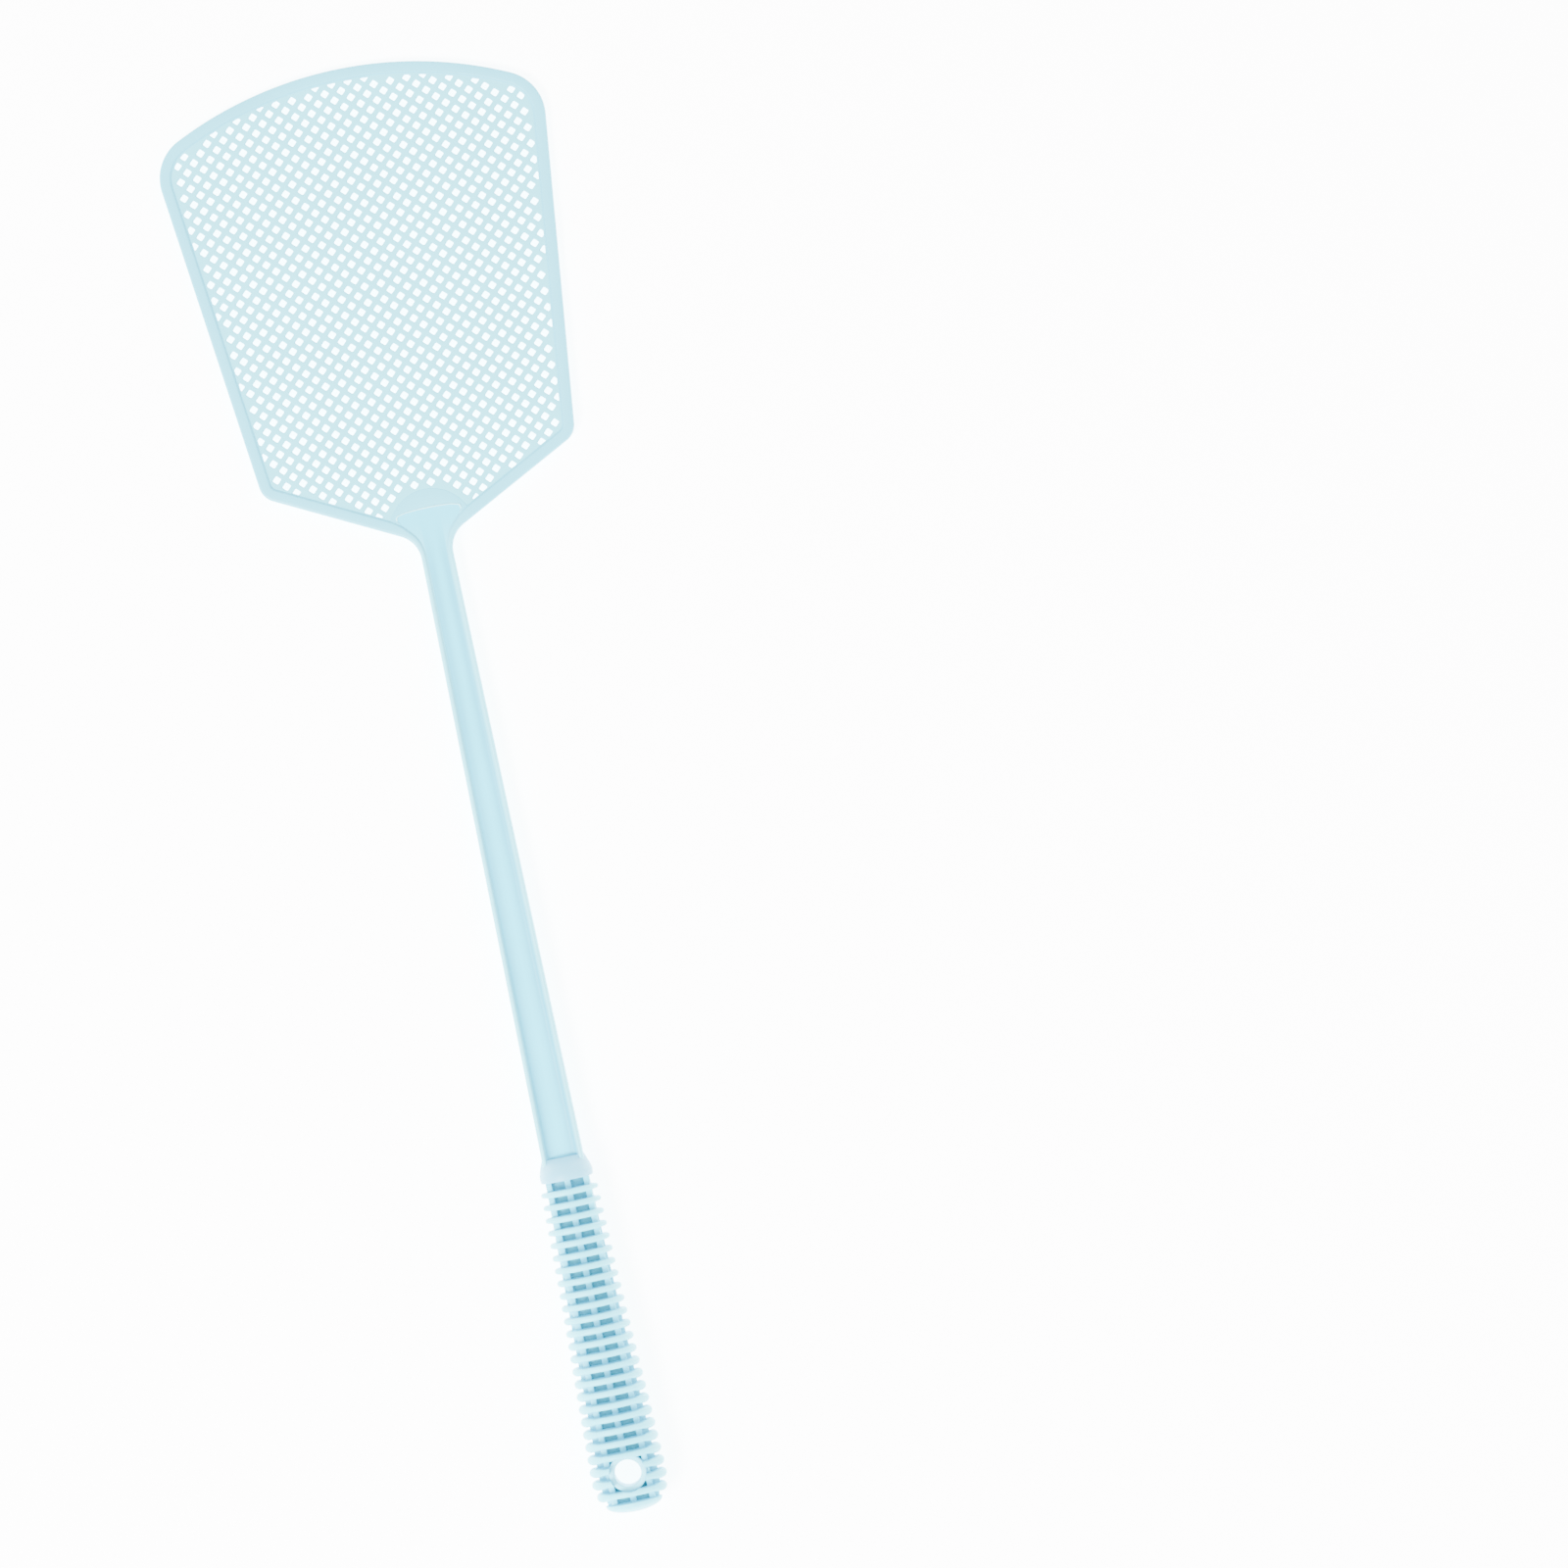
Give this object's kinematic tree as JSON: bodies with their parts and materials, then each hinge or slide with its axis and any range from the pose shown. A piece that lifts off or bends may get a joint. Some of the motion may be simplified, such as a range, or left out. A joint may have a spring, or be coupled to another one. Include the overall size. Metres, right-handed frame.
{
  "type": "fly swatter",
  "caption": "Hand-held fly swatter: a rimmed diamond-lattice flap on a channelled shaft, with a domed collar and a finned grip that ends in a hang hole.",
  "frame": {"origin": "on the axis of the hang hole, at half its depth, which is the parting plane of the moulding", "axes": "+X across the flap to its right seen from the front, +Y along the handle from the hang hole to the flap, +Z out of the front face, through the thickness"},
  "size_m": [0.1146, 0.4297, 0.0164],
  "materials": {
    "moulding": "satin moulded polypropylene, pastel blue, slightly translucent"
  },
  "bodies": {
    "root": {"flap_rim": "moulding", "flap_mesh": "moulding", "neck_fan": "moulding", "neck_bead": "moulding", "shaft_flange_left": "moulding", "shaft_flange_right": "moulding", "shaft_web": "moulding", "gate_mark": "moulding", "collar": "moulding", "grip_web": "moulding", "grip_centre_rib": "moulding", "grip_side_rib_left": "moulding", "grip_side_rib_right": "moulding", "grip_fins": "moulding", "eye_fins": "moulding", "hang_eye": "moulding", "end_cap": "moulding"}
  },
  "joints": []
}
